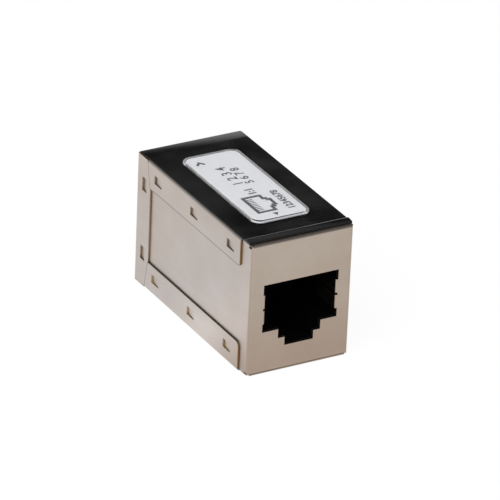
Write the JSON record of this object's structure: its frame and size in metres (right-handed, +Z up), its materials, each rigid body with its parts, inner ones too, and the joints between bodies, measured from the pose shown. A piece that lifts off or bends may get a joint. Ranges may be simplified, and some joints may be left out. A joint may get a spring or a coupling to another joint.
{
  "type": "rj45 inline coupler",
  "caption": "Shielded inline coupler: a folded metal box with a stepped modular port at each end, side snap windows, and a black top cover with a label window.",
  "frame": {"origin": "middle of the base, under the body's middle", "axes": "+Z up; the body's length lies along Y, and the front port, the one beside the cover's lip, faces -Y"},
  "size_m": [0.0166, 0.033, 0.0207],
  "materials": {
    "plated_shell": "satin nickel plate on brass sheet",
    "black_cover": "semi-gloss black",
    "label_paper": "coated white label",
    "clear_window": "clear, polished",
    "black_housing": "moulded black",
    "board_laminate": "green solder mask",
    "gold_contact": "gold-plated spring wire"
  },
  "bodies": {
    "root": {"front_shell": "plated_shell", "rear_shell": "plated_shell", "top_cover": "black_cover", "label": "label_paper", "label_window": "clear_window", "front_jack_housing": "black_housing", "rear_jack_housing": "black_housing", "front_contact_carrier": "black_housing", "rear_contact_carrier": "black_housing", "circuit_board": "board_laminate", "front_contact_1": "gold_contact", "front_contact_2": "gold_contact", "front_contact_3": "gold_contact", "front_contact_4": "gold_contact", "front_contact_5": "gold_contact", "front_contact_6": "gold_contact", "front_contact_7": "gold_contact", "front_contact_8": "gold_contact", "rear_contact_1": "gold_contact", "rear_contact_2": "gold_contact", "rear_contact_3": "gold_contact", "rear_contact_4": "gold_contact", "rear_contact_5": "gold_contact", "rear_contact_6": "gold_contact", "rear_contact_7": "gold_contact", "rear_contact_8": "gold_contact"}
  },
  "joints": []
}
